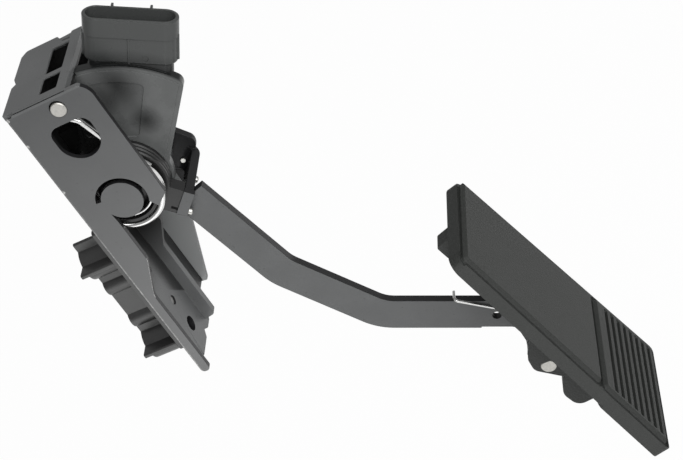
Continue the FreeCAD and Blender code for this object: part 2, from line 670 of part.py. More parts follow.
def fan(radius, tangent, hub):
    """Fan outline about the pivot: hub arc, two sides tangent to a circle, and a top arc."""
    axis, spread = size("connector_angle"), size("fan_half_angle")
    right, left = axis - spread, axis + spread
    reach = math.sqrt(radius ** 2 - tangent ** 2)
    root = math.sqrt(hub ** 2 - tangent ** 2)

    def side(direction, turn, distance):
        angle = math.radians(direction)
        normal = math.radians(direction + turn)
        return Vector(distance * math.cos(angle) + tangent * math.cos(normal),
                      distance * math.sin(angle) + tangent * math.sin(normal), 0)

    right_root, right_tip = side(right, -90, root), side(right, -90, reach)
    left_tip, left_root = side(left, 90, reach), side(left, 90, root)
    return [line(right_root, right_tip),
            Part.Arc(right_tip, polar(radius, axis), left_tip),
            line(left_tip, left_root),
            Part.Arc(left_root, polar(hub, axis + 180), right_root)]


def toward_connector(shape):
    """Turn a shape drawn with Z along the connector's opening direction."""
    shape.rotate(Vector(0, 0, 0), Vector(0, 1, 0), 90 - size("connector_angle"))
    return shape


def connector_solid(inset, start, end, soft=0.0):
    """Oval prism along the connector's opening direction, with its lower edge rounded."""
    low, high = -size("shroud_low") + inset, size("shroud_high") - inset
    side = size("shroud_start") + inset
    depth = size("shroud_depth") - 2 * inset
    radius = depth / 2 - 0.01
    outline = rounded([(low, side, radius), (high, side, radius), (high, side + depth, radius),
                       (low, side + depth, radius)])
    wire = Part.Wire([curve.toShape() for curve in outline])
    solid = Part.Face(wire).extrude(Vector(0, 0, end - start))
    if soft:
        lower = [edge for edge in solid.Edges if edge.BoundBox.ZMax < 0.1]
        solid = solid.makeFillet(soft, lower)
    solid.translate(Vector(0, 0, start))
    return toward_connector(solid)


def connector_trim():
    """Rib and end rails under the collar, and two keys on the far side."""
    base, top = size("shroud_base"), size("shroud_top")
    low, high, near = -size("shroud_low"), size("shroud_high"), size("shroud_start")
    middle, depth = (low + high) / 2, size("shroud_depth")
    collar = top - size("collar_height")
    solids = [block((middle - 0.9, near - 0.35, base + 0.6), (middle + 0.1, near + 1, collar + 1)),
              block((low - 0.7, near + 4.6, base + 2), (low + 1, near + 5.6, collar + 1)),
              block((high - 1, near + 4.6, base + 2), (high + 0.7, near + 5.6, collar + 1))]
    for across in (middle - 9.5, middle + 9.5):
        solids.append(block((across - 0.6, near + depth - 1, collar + 2),
                            (across + 0.6, near + depth + 1.2, top + 1.1)))
    return toward_connector(Part.makeCompound(solids)).Solids


def extruded(curves, start, end):
    """Outline in the pivot's plane, drawn out along Y."""
    wire = Part.Wire(Part.__sortEdges__([curve.toShape() for curve in curves]))
    wire.rotate(Vector(0, 0, 0), Vector(1, 0, 0), 90)
    wire.translate(Vector(0, start, 0))
    return Part.Face(wire).extrude(Vector(0, end - start, 0))


def below_ledge(start, end, extra=0.0):
    """Space under the bracket's front bar, which the sensor keeps out of."""
    height = size("top_height") - size("bar_height") - 0.4 - extra
    return block((-60, start, height), (size("top_front") + size("bar_depth") + 0.4 + extra,
                                        end, 90))


def sensor_housing():
    start, split, wall = size("sensor_start"), size("sensor_split"), size("sensor_wall")
    radius, tangent, hub = size("fan_radius"), size("fan_tangent"), size("sensor_hub")
    step = size("fan_step")
    rear = start + size("sensor_flange")
    solid = extruded(fan(radius, tangent, hub), start, rear)
    tips = [edge for edge in solid.Edges
            if edge.BoundBox.YLength > 5 and edge.CenterOfMass.Length > radius]
    solid = solid.makeFillet(5, tips)
    solid = solid.fuse(extruded(fan(radius - step, tangent - step, hub - 3.5), rear - 1, split))
    foot = block((-size("back_depth") + size("web_wall"), 28, 15), (2, split - 2, 34))
    solid = solid.fuse(foot).cut(below_ledge(start - 1, split + 1))
    base, top = size("shroud_base"), size("shroud_top")
    solid = solid.fuse(connector_solid(size("shroud_neck"), radius - 8, base + 2.5))
    solid = solid.fuse(connector_solid(0, base, top, 2))
    collar = size("collar_height")
    solid = solid.fuse(connector_solid(-size("collar_step"), top - collar, top - 0.4))
    solid = solid.fuse(connector_trim())
    dimple = Part.makeCylinder(1.6, 2, Vector(10.5, size("shroud_start") + 0.3, base + 4),
                               Vector(0, -1, 0))
    solid = solid.cut(toward_connector(dimple))
    rim = size("flange_rim")
    ring = extruded(fan(radius + 1, tangent + 1, hub + 1), start - 1, start + size("flange_step"))
    ring = ring.cut(extruded(fan(radius - rim, tangent - rim, hub - rim), start - 2, start + 2))
    solid = solid.cut(ring)
    cavity = extruded(fan(radius - step - wall, tangent - step - wall, hub - 3.5 - wall),
                      start + wall, split + 1)
    solid = solid.cut(cavity.cut(below_ledge(start, split + 1, wall)))
    solid = solid.cut(connector_solid(size("shroud_wall"), base + 4, top + 1))
    solid = solid.cut(rod(size("rotor_radius") - 4.5, start - 1, start + wall + 1))
    solid = solid.cut(terminal_pins())
    panel = [arc(radius - 9, 49, 84), line(polar(radius - 9, 84), polar(30, 100)),
             line(polar(30, 100), polar(25.8, 44)), line(polar(25.8, 44), polar(radius - 9, 49))]
    panel = extruded(panel, start - 1, start + size("panel_depth"))
    solid = solid.cut(panel.makeFillet(2.5, [edge for edge in panel.Edges
                                             if edge.BoundBox.YLength > 1]))
    return keep_shape("sensor_housing", solid.removeSplitter())


def sensor_cover():
    split, step = size("sensor_split"), size("fan_step")
    end = split + size("cover")
    outline = fan(size("fan_radius") - step, size("fan_tangent") - step, size("sensor_hub") - 3.5)
    solid = extruded(outline, split, end).cut(below_ledge(split - 1, end + 1))
    solid = solid.cut(rod(size("axle_radius") + size("gap"), split - 1, end + 1))
    return keep_shape("sensor_cover", solid)


def sensor_rotor():
    bore = size("axle_radius") + size("fit") + 0.2
    sleeve = size("axle_radius") + size("bush_wall") + 2.4
    start = size("collar_end") - 2.4
    flange = size("sensor_start") + size("sensor_wall") + 1.2
    solid = tube(sleeve, bore, start, flange + 10)
    solid = solid.fuse(tube(size("rotor_radius"), bore, flange, flange + 3))
    keep_shape("sensor_rotor", solid.removeSplitter())
    magnet = tube(size("rotor_radius"), sleeve + 0.03, flange + 3, flange + 8)
    keep_shape("rotor_magnet", magnet)


def circuit_board():
    end = size("sensor_split")
    inset = size("fan_step") + size("sensor_wall") + 0.6
    outline = fan(size("fan_radius") - inset, 6, 18)
    board = extruded(outline, end - 1.6, end).cut(rod(size("axle_radius") + 2, 0, 60))
    return keep_shape("circuit_board", board.cut(below_ledge(end - 3, end + 1, 4)))


def terminal_pins():
    """Flat terminals in two rows, through the floor of the connector."""
    pitch, width = size("terminal_pitch"), size("terminal")
    centre = (size("shroud_high") - size("shroud_low")) / 2
    pins = []
    for row in range(2):
        for index in range(5):
            across = centre + (index - 2) * pitch * 1.6
            depth = size("shroud_start") + size("shroud_depth") / 2 + (row - 0.5) * pitch
            pin = block((across - width, depth - width, size("shroud_base") - 14),
                        (across + width, depth + width, size("shroud_top") - 8))
            pin.rotate(Vector(0, 0, 0), Vector(0, 1, 0), 90 - size("connector_angle"))
            pins.append(pin)
    return Part.makeCompound(pins)


# Foot pad, drawn about its hinge pin

def pad_outline(top_inset, foot_inset, side_inset, top_radius, foot_radius):
    """Tapered outline of the pad between two distances from its ends."""
    above, length, offset = size("pad_above"), size("pad_length"), size("pad_offset")
    top, foot = above - top_inset, above - length + foot_inset

    def half(height):
        share = (above - height) / length
        wide = size("pad_top_width") * (1 - share) + size("pad_foot_width") * share
        return wide / 2 - side_inset

    return rounded([(offset - half(top), top, top_radius), (offset + half(top), top, top_radius),
                    (offset + half(foot), foot, foot_radius),
                    (offset - half(foot), foot, foot_radius)])


def foot_pad():
    body = new_body("foot_pad", "pad")
    corner, inset, groove = size("pad_corner"), size("island_inset"), size("island_groove")
    length, plateau, ribbed = size("pad_length"), size("plateau_length"), size("ribbed_start")
    foot_corner, inner = size("foot_corner"), corner - inset - groove
    extrude(body, "plate", "YZ_Plane", pad_outline(0, 0, 0, corner, foot_corner),
            "sizes.pad_face - sizes.pad_thickness", "sizes.pad_thickness")
    extrude(body, "thick_foot", "YZ_Plane",
            pad_outline(size("foot_start"), 0, 0, foot_corner, foot_corner),
            "sizes.pad_face - sizes.pad_thickness - sizes.foot_extra", "sizes.foot_extra")
    fields = ((inset, length - plateau, inner), (ribbed, inset, foot_corner - groove + 0.6))
    for index, (top, foot, round_foot) in enumerate(fields):
        outline = pad_outline(top, foot, inset, inner, round_foot)
        ring = pad_outline(top - groove, foot - groove, inset - groove, corner - inset,
                           round_foot + groove) + outline
        extrude(body, "groove_%d" % index, "YZ_Plane", ring, "sizes.pad_face - sizes.groove_depth",
                "5", True)
        island = extrude(body, "island_%d" % index, "YZ_Plane", outline, "sizes.pad_face",
                         "sizes.island")
        island.setExpression("TaperAngle", "-sizes.island_taper")
    above, half_slot = size("pad_above"), size("rib_slot") / 2
    slots = []
    for index in range(8):
        middle = size("rib_start") + index * size("rib_pitch")
        share = middle / length
        wide = size("pad_top_width") * (1 - share) + size("pad_foot_width") * share
        half, low = wide / 2 - size("rib_border"), above - middle - half_slot
        offset = size("pad_offset")
        slots += rectangle(offset - half, low, offset + half, low + 2 * half_slot, 0.6)
    extrude(body, "rib_slots", "YZ_Plane", slots,
            "sizes.pad_face + sizes.island - sizes.rib_depth", "5", True)
    back = size("pad_face") - size("pad_thickness")
    lug = rounded([(back + 1, -17.0, 0), (back + 1, 22.5, 0), (2.35, 20.3, 3), (-6.6, 9.4, 5),
                   (-8.9, 1.4, 6), (2.0, -15.3, 3)])
    half = size("arm_thickness") / 2 + size("gap")
    near = half + size("pad_coil_room") + size("lug_wall")
    side_pad(body, "far_lug", lug, "%g" % half, "sizes.lug_wall")
    side_pad(body, "near_lug", lug, "-%g" % near, "sizes.lug_wall")
    keeper = rounded([(back + 1, 3.0, 0), (back + 1, 29.0, 0), (4.9, 22.3, 6), (-2.9, 14.6, 4),
                      (-2.4, 5.4, 4), (5.5, 3.6, 4)])
    side_pad(body, "pin_keeper", keeper, "-%g - sizes.keeper" % (near + 2.2), "sizes.keeper")
    heel = closed([Vector(-6.4, 7.2, 0), Vector(-4.5, 8.2, 0), Vector(-3.5, 11.8, 0),
                   Vector(-5.4, 10.8, 0)])
    side_pad(body, "rest_heel", heel, "-%g" % (near - size("lug_wall") + 1),
             "%g + sizes.pad_coil_room + 2" % (2 * half))
    lower = rounded([(back + 1, -15.4, 0), (-3.65, -16.9, 3), (-11.15, -26.4, 8),
                     (-10.15, -38.4, 6), (back + 1, -42.4, 0)])
    side_pad(body, "lower_rib", lower, "-5", "10")
    boss = rounded([(back + 1, 97.2, 0), (back + 1, 81.6, 0), (5.35, 87.1, 1.5),
                    (5.35, 96.4, 1.5)])
    side_pad(body, "upper_rib", boss, "-5", "10")
    side_cut(body, "hinge_hole", [circle(0, 0, size("hinge_radius") + size("fit"))], "-11", "30")
    return body


def pad_hinge():
    radius, head = size("hinge_radius"), size("hinge_head")
    far = size("arm_thickness") / 2 + size("gap") + size("lug_wall")
    near = -far - size("pad_coil_room")
    groove = far + size("fit")
    width = size("clip_width") + 2 * size("fit")
    depth = size("clip_groove")
    points = [(0, near - 2), (head - 0.5, near - 2), (head, near - 1.5), (head, near),
              (radius, near), (radius, groove), (radius - depth, groove),
              (radius - depth, groove + width), (radius, groove + width),
              (radius, groove + width + 1.4), (0, groove + width + 1.4)]
    keep_shape("pad_hinge_pin", revolved(points), "pad")
    start = groove + size("fit")
    ring = tube(radius + 2, radius - depth + size("fit"), start, start + size("clip_width"))
    mouth = block((-1.6, start - 1, 0), (1.6, start + 2, 9))
    keep_shape("pad_pin_clip", ring.cut(mouth), "pad")


def pad_spring():
    """Spring round the hinge pin, with one leg hooked over the arm's top edge."""
    wire, coil = size("pad_wire_radius"), size("pad_coil_radius")
    eye_x, eye_z = size("pad_forward"), -size("pad_drop")
    side = size("arm_start") - wire - size("fit")
    far = size("arm_start") + size("arm_thickness") + size("leg_overhang")
    leg = [Vector(size("leg_forward"), far, -size("leg_drop")),
           Vector(size("leg_forward"), side, -size("leg_drop")),
           Vector(eye_x + coil, side, -size("leg_bend_drop")), Vector(eye_x + coil, side, eye_z)]
    low = side - 1.75 * (2 * wire + size("fit"))
    turning = turns(coil, 0, -630, side, low, eye_x, eye_z)
    foot = [Vector(eye_x, low, eye_z + coil), Vector(eye_x + size("leg_foot"), low, eye_z + coil)]
    path = bent(leg, size("leg_bend")) + [turning, line(*foot).toShape()]
    keep_shape("pad_spring", round_wire(path, wire))


def bumpers():
    """Rubber stops on the web, below and above the cheek's stop."""
    floor = size("web_wall") - size("back_depth")
    front, half = size("bumper_reach") - size("stop_reach"), size("stop_half")
    low, high = size("cheek_start"), size("cheek_end")
    rest_top = -half - size("bumper_gap")
    keep_shape("rest_bumper", block((floor, low, rest_top - size("bumper_height")),
                                    (front, high, rest_top)))
    turn = math.radians(size("travel") + 0.8)
    travel_low = size("stop_reach") * math.sin(turn) + half * math.cos(turn)
    keep_shape("travel_bumper", block((floor, low, travel_low),
                                      (front, high, travel_low + size("bumper_height"))))


bracket()
mounting_spacer()
mounting_sleeves()
locating_pins()
cross_pin()
pivot_axle()
axle_clip()
bushes()
lever_hub()
return_springs()
pedal_arm()
keep_shape("arm_rivets", Part.makeCompound(rivets(size("rivet_radius"), size("rivet_head"),
                                                  size("rivet_height"))))
sensor_housing()
sensor_cover()
sensor_rotor()
circuit_board()
keep_shape("connector_terminals", terminal_pins())
foot_pad()
pad_hinge()
pad_spring()
bumpers()
document.recompute()

# Check every object, then write each piece

for item in document.Objects:
    if "Invalid" in item.State or "Error" in item.State:
        raise RuntimeError("%s: %s" % (item.Name, item.State))
os.makedirs("parts", exist_ok=True)
for piece in parts:
    if piece.Shape.isNull() or not piece.Shape.isValid():
        raise RuntimeError("%s has no valid shape" % piece.Label)
    piece.Shape.exportStep("parts/%s.step" % piece.Label)
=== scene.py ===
import bpy
import json
import math
from mathutils import Matrix, Vector


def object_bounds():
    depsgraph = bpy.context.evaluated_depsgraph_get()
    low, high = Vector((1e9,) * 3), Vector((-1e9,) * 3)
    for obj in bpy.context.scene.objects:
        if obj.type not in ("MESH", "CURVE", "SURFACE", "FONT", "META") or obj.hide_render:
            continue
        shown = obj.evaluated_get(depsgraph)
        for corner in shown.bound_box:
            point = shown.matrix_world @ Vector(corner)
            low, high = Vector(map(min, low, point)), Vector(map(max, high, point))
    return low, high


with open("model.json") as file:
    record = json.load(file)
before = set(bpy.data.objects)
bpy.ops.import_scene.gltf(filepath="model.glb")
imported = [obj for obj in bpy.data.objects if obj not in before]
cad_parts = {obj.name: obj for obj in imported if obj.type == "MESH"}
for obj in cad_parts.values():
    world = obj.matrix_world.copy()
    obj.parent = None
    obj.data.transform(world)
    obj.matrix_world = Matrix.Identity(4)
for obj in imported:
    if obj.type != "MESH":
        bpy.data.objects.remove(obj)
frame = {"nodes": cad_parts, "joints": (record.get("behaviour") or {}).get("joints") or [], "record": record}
cad_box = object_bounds()

# One millimetre in metres
MM = 0.001
X, Y, Z = range(3)

# The pedal's pivot in the near flange's outer face, in millimetres in the row's frame. Places on
# the part are in millimetres from it: x towards the foot pad, y towards the far side and z up.
# A box is its low and its high corner.
JOINTS = {joint["name"]: joint for joint in frame["joints"]}
PIVOT = Vector([part / MM for part in JOINTS["pedal_pivot"]["pos_m"]])


def from_pivot(point):
    """Place in the row's frame, in metres, of a point in millimetres from the pivot."""
    return (Vector(point) + PIVOT) * MM


def shade(colour, factor):
    """The colour, paler or darker by a factor."""
    return tuple(channel * factor for channel in colour)


# Helper for materials

class Finish:
    """A material being built: its node tree, its shader and helpers for its pattern nodes.

    A share is a number or a socket from 0 to 1, and sizes are in millimetres.
    """

    def __init__(self, name, colour, roughness, metallic=0.0, specular=0.5):
        self.material = bpy.data.materials.new(name)
        self.material.use_nodes = True
        self.tree = self.material.node_tree
        self.shader = self.tree.nodes["Principled BSDF"]
        self.shader.inputs["Base Color"].default_value = (*colour, 1)
        self.shader.inputs["Roughness"].default_value = roughness
        self.shader.inputs["Metallic"].default_value = metallic
        self.shader.inputs["Specular IOR Level"].default_value = specular
        self.place = self.node("ShaderNodeTexCoord").outputs["Object"]
        self.tone = colour

    def link(self, value, socket):
        if isinstance(value, bpy.types.NodeSocket):
            self.tree.links.new(value, socket)
        else:
            socket.default_value = value

    def node(self, kind, **inputs):
        """Adds a node whose inputs are numbers, colours or other nodes' sockets."""
        node = self.tree.nodes.new(kind)
        for name, value in inputs.items():
            self.link(value, node.inputs[name.replace("_", " ")])
        return node

    def maths(self, operation, first, second=0.0):
        node = self.node("ShaderNodeMath")
        node.operation = operation
        self.link(first, node.inputs[0])
        self.link(second, node.inputs[1])
        return node.outputs[0]

    def joined(self, operation, shares):
        result, *others = shares
        for share in others:
            result = self.maths(operation, result, share)
        return result

    def both(self, *shares):
        """Where all the shares are."""
        return self.joined("MULTIPLY", shares)

    def either(self, *shares):
        """Where any of the shares is."""
        return self.joined("MAXIMUM", shares)

    def outside(self, share):
        """Where the share isn't."""
        return self.maths("SUBTRACT", 1.0, share)

    def noise(self, size, detail=2.0):
        """Noise whose grains are about this size."""
        noise = self.node("ShaderNodeTexNoise", Vector=self.place, Scale=1 / (size * MM),
                          Detail=detail)
        return noise.outputs["Fac"]

    def cells(self, size):
        """Distance to the nearest point of a scatter with this spacing."""
        cells = self.node("ShaderNodeTexVoronoi", Vector=self.place, Scale=1 / (size * MM))
        return cells.outputs[0]

    def ramp(self, value, low, high, start=0.0, end=1.0):
        """Maps value from low..high to start..end and keeps it there."""
        mapped = self.node("ShaderNodeMapRange", Value=value, From_Min=low, From_Max=high,
                           To_Min=start, To_Max=end)
        return mapped.outputs[0]

    def spread(self, noise, start=0.0, end=1.0, half=0.2):
        """Maps the middle values of noise, this far either way, to start..end."""
        return self.ramp(noise, 0.5 - half, 0.5 + half, start, end)

    def along(self, axis, span, start=0.0, end=1.0):
        """Runs from start to end over a span of an axis, given as its two ends."""
        low, high = ((PIVOT[axis] + place) * MM for place in span)
        return self.ramp(self.part(self.place, axis), low, high, start, end)

    def part(self, vector, axis):
        return self.node("ShaderNodeSeparateXYZ", Vector=vector).outputs[axis]

    def towards(self, axis):
        """The surface's direction along an axis: 1 where it faces the positive way."""
        return self.part(self.node("ShaderNodeTexCoord").outputs["Normal"], axis)

    def facing(self, axis, low=0.7, high=0.85):
        """1 where the surface faces along an axis, either way."""
        return self.ramp(self.maths("ABSOLUTE", self.towards(axis)), low, high)

    def within(self, box):
        """1 inside a box, and 0 outside."""
        parts = self.node("ShaderNodeSeparateXYZ", Vector=self.place).outputs
        limits = []
        for part, low, high in zip(parts, *map(from_pivot, box)):
            limits.append(self.maths("GREATER_THAN", part, low))
            limits.append(self.maths("LESS_THAN", part, high))
        return self.both(*limits)

    def around(self, point, radius, soft=0.3):
        """1 near a point, fading to 0 at the radius over this share of it."""
        away = self.node("ShaderNodeVectorMath")
        away.operation = "DISTANCE"
        self.link(self.place, away.inputs[0])
        self.link(from_pivot(point), away.inputs[1])
        return self.ramp(away.outputs["Value"], radius * (1 - soft) * MM, radius * MM, 1, 0)

    def mix(self, share, first, second):
        """The first colour, with the second over it as far as the share says."""
        mixed = self.node("ShaderNodeMix")
        mixed.data_type = "RGBA"
        self.link(share, mixed.inputs[0])
        for colour, socket in ((first, mixed.inputs[6]), (second, mixed.inputs[7])):
            self.link((*colour, 1) if isinstance(colour, tuple) else colour, socket)
        return mixed.outputs[2]

    def paint(self, tone):
        """Makes a colour or socket the surface's tone."""
        self.tone = tone
        self.link(tone, self.shader.inputs["Base Color"])

    def mottle(self, noise, dark, pale, half=0.2):
        """Paints everything between two colours."""
        self.paint(self.mix(self.spread(noise, half=half), dark, pale))

    def layer(self, share, colour):
        """Paints a colour over what is there, as far as the share says."""
        self.paint(self.mix(share, self.tone, colour))

    def gloss(self, roughness):
        self.link(roughness, self.shader.inputs["Roughness"])

    def bump(self, height, depth):
        """Adds relief of this depth."""
        relief = self.node("ShaderNodeBump", Height=height, Distance=depth * MM)
        self.link(relief.outputs[0], self.shader.inputs["Normal"])


# Coated steel of the bracket and the arm

# Near black of painted shade: on cut edges, in the seam and bores, and on the arm's far cheek
EDGE_SHADE = (0.012, 0.012, 0.013)
# Near black of painted shadow on the web and painted shade inside the channel
SHADE_BLACK = (0.012, 0.012, 0.012)
# Pale grey of painted highlights on the bracket's edges
HIGHLIGHT_GREY = (0.50, 0.50, 0.49)


def coated_steel(name, grey, specular):
    """Satin dark grey coating on pressed steel, with small flecks."""
    finish = Finish(name, grey, 0.42, specular=specular)
    cloud = finish.noise(18, 3)
    speck = finish.noise(0.7)
    fleck = finish.noise(2.2, 1)
    finish.mottle(cloud, shade(grey, 0.90), shade(grey, 1.10), half=0.15)
    finish.layer(finish.ramp(fleck, 0.70, 0.74), shade(grey, 0.6))
    finish.layer(finish.spread(speck), shade(grey, 1.03))
    finish.gloss(finish.spread(speck, 0.38, 0.50))
    finish.bump(speck, 0.01)
    return finish


NEAR_FLANGE = ((-20.4, -0.2, -118), (23, 3.25, 66.2))
SEAM_WALLS = ((-25.2, 0.5, 65.9), (10.3, 1.7, 67.1))
# The two holes that show in the web's foot: centre, and radius within which their bores get painted shade
WEB_HOLES = (((-22, 17.2, -78.6), 4.5), ((-22, 17.2, -95.9), 8.5))


def shaded_cuts(finish):
    """Share of painted shade on the near flange's cut edges, in the top plate's seam and in the web's bores.
    """
    flange = finish.both(finish.within(NEAR_FLANGE), finish.outside(finish.facing(Y)))
    holes = finish.either(*(finish.around(*hole) for hole in WEB_HOLES))
    bores = finish.both(holes, finish.outside(finish.facing(X)))
    return finish.either(flange, finish.within(SEAM_WALLS), bores)


NEAR_FACE = ((-25, -0.3, -125), (25, 0.3, 66))
FACE_HEIGHT = (-100, 60)
FAR_WALL = ((-20, 58, -118), (60, 58.9, -20))
# Colours of painted shade at the near flange's top, and of painted light at its foot and on the far wall's
# inner face
UPPER_SHADE = (0.05, 0.052, 0.053)
LOWER_LIGHT = (0.32, 0.32, 0.32)
FAR_WALL_LIGHT = (0.36, 0.37, 0.37)


def paint_flange_light(finish):
    """Painted light and shade: the near flange is darker up top and paler towards its foot, and the far
    wall's inner face paler still.
    """
    near = finish.both(finish.within(NEAR_FACE), finish.facing(Y))
    finish.layer(finish.both(near, finish.along(Z, FACE_HEIGHT, 0.0, 0.5)), UPPER_SHADE)
    finish.layer(finish.both(near, finish.along(Z, FACE_HEIGHT, 0.25, 0.0)), LOWER_LIGHT)
    finish.layer(finish.both(finish.within(FAR_WALL), finish.facing(Y), 0.85), FAR_WALL_LIGHT)


# The web's strips beside its rib, where painted shadow goes
NEAR_STRIP = ((-20.9, 19, -95), (-20.2, 34.2, -20))
FAR_STRIP = ((-20.9, 38.5, -115), (-20.2, 58.6, -20))
# The near strip's painted shadow darkens over this span across the web. Its edge is a slanted line through
# the corner, which drops by the slope for each millimetre across and is blurred either way.
STRIP_FADE = (19, 26)
STRIP_CORNER = (0, 26.1, -78.3)
STRIP_SLOPE = 0.94
STRIP_BLUR = 0.4


def shadow_strips(finish):
    """Share of painted shadow on the web's two strips beside its rib."""
    fall = finish.maths("MULTIPLY", finish.part(finish.place, Y), STRIP_SLOPE)
    level = finish.maths("ADD", finish.part(finish.place, Z), fall)
    corner = from_pivot(STRIP_CORNER)
    end = corner.z + STRIP_SLOPE * corner.y
    above = finish.ramp(level, end - STRIP_BLUR * MM, end + STRIP_BLUR * MM)
    near = finish.both(finish.within(NEAR_STRIP), finish.along(Y, STRIP_FADE), above)
    return finish.either(near, finish.within(FAR_STRIP))


# The channel's inside behind the hub, darkened with painted shade that fades out downwards
CHANNEL = ((-20.9, 2.7, -66), (30, 38.5, 64.2))
CHANNEL_FADE = (-66, -38)
FAR_CHANNEL = ((-24, 38.5, -18), (30, 58.9, 64.2))


def shaded_inside(finish):
    """Share of painted shade on the inside of the channel behind the pedal's hub."""
    channel = finish.both(finish.within(CHANNEL), finish.along(Z, CHANNEL_FADE))
    return finish.either(channel, finish.within(FAR_CHANNEL))


# Places of painted highlights: the fold, the flange's tapered edge and glints at small burrs
FOLD = ((-24.3, -0.2, -125), (-23.3, 1.3, 64))
FOLD_FADE = (-60, 10)
TAPERED_EDGE = ((-20, -0.3, -61), (-7.5, 0.45, -37))
GLINT_SPOTS = ((-23.6, 0.4, 48.5), (-23.6, 0.4, 17.4), (-23.6, 0.4, 65.5), (-8.6, 0.2, -42.5))
GLINT_RADIUS = 1.3


def highlighted_edges(finish):
    """Share of painted highlights on the fold, more so low down, on the flange's tapered edge and as glints
    at small burrs.
    """
    fold = finish.both(finish.within(FOLD), finish.along(Z, FOLD_FADE, 0.75, 0.22))
    taper = finish.both(finish.within(TAPERED_EDGE), finish.outside(finish.facing(Y, 0.9, 0.97)))
    glints = [finish.around(place, GLINT_RADIUS) for place in GLINT_SPOTS]
    highlight_breakup = finish.spread(finish.noise(0.9), 0.35, 1.0, half=0.08)
    return finish.both(finish.either(fold, taper, *glints), highlight_breakup)


def bracket_steel():
    """Coated steel, toned face by face with painted light and shade, and with painted highlights on its
    edges.
    """
    finish = coated_steel("bracket_steel", (0.118, 0.121, 0.122), 0.5)
    finish.layer(shaded_cuts(finish), EDGE_SHADE)
    paint_flange_light(finish)
    finish.layer(finish.both(shadow_strips(finish), 0.85), SHADE_BLACK)
    finish.layer(shaded_inside(finish), SHADE_BLACK)
    finish.layer(highlighted_edges(finish), HIGHLIGHT_GREY)
    return finish.material


# The arm's far cheek, inside the yoke, which is painted dark as shade
FAR_CHEEK = ((-30, 45, -60), (40, 60, 40))


def arm_steel():
    """Coated steel with painted shade on its cut edges and on its far cheek."""
    finish = coated_steel("arm_steel", (0.108, 0.111, 0.112), 0.4)
    edges = finish.outside(finish.facing(Y))
    finish.layer(finish.either(finish.within(FAR_CHEEK), edges), EDGE_SHADE)
    return finish.material


# Bare metals

def plated_steel():
    """Dull zinc plate with turning marks."""
    grey = (0.52, 0.51, 0.48)
    finish = Finish("plated_steel", grey, 0.38, metallic=1.0)
    patches = finish.noise(1.5, 3)
    finish.mottle(patches, shade(grey, 0.85), shade(grey, 1.1))
    finish.gloss(finish.spread(patches, 0.3, 0.48))
    finish.bump(finish.noise(0.4), 0.01)
    return finish.material


def spring_steel():
    """Bright drawn wire with fine streaks."""
    grey = (0.80, 0.80, 0.79)
    finish = Finish("spring_steel", grey, 0.16, metallic=1.0)
    streak = finish.noise(0.8)
    finish.mottle(streak, shade(grey, 0.82), grey)
    finish.gloss(finish.spread(streak, 0.12, 0.24))
    return finish.material


# The two visible rivets' shanks
RIVET_SHANKS = (((12, 10, -32), (18, 16, -20)), ((18.5, 30, -28), (23, 36, -19)))


def rivet_steel():
    """Plated rivet heads; the shanks inside the strap are painted near black and rougher."""
    finish = Finish("rivet_steel", (0.60, 0.59, 0.56), 0.32, metallic=1.0)
    finish.mottle(finish.noise(1.2, 3), (0.5, 0.5, 0.48), (0.66, 0.65, 0.62))
    shanks = finish.either(*map(finish.within, RIVET_SHANKS))
    finish.layer(shanks, (0.02, 0.02, 0.02))
    finish.gloss(finish.ramp(shanks, 0.0, 1.0, 0.3, 0.7))
    return finish.material


def shaded_bore_steel():
    """Near-black steel of the sleeves, painted dark as shade so that their bores read dark."""
    finish = Finish("shaded_bore_steel", (0.012, 0.012, 0.012), 0.55)
    finish.mottle(finish.noise(1.0), (0.010, 0.010, 0.010), (0.02, 0.02, 0.02))
    return finish.material


# Plastic and rubber

def moulded(name, colour, roughness, grain, depth, specular=0.5):
    """Moulded plastic or rubber with a fine spark-eroded grain."""
    finish = Finish(name, colour, roughness, specular=specular)
    pebble = finish.cells(grain)
    cloud = finish.noise(20)
    finish.mottle(cloud, shade(colour, 0.9), shade(colour, 1.1), half=0.15)
    finish.layer(finish.ramp(pebble, 0.2, 0.9), shade(colour, 1.18))
    finish.gloss(finish.spread(cloud, roughness - 0.05, roughness + 0.05))
    finish.bump(pebble, depth)
    return finish.material


# The housing's front is a fan about the pivot's axis, with the connector beyond its rim
HOUSING_CENTRE = (0, 20.6, 0)
RIM_RADIUS = 65.5
NECK_RADIUS = 76
CONNECTOR_TONE = (0.066, 0.069, 0.068)
# Near black of painted shadow at the connector's neck, below its shroud
NECK_SHADOW = (0.012, 0.013, 0.013)
# The span over which the painted shade behind the flange's window ends
WINDOW_SHADE_FADE = (2, 13)
# Painted dark reflections in soft patches on the panel: centre and radius
REFLECTION_PATCHES = (((24, 20.6, 48), 17), ((27, 20.6, 25), 9.5), ((11, 20.6, 44), 11))
# Near black of the painted shade and the painted dark reflections
SHADE_AND_REFLECTION_DARK = (0.004, 0.004, 0.004)


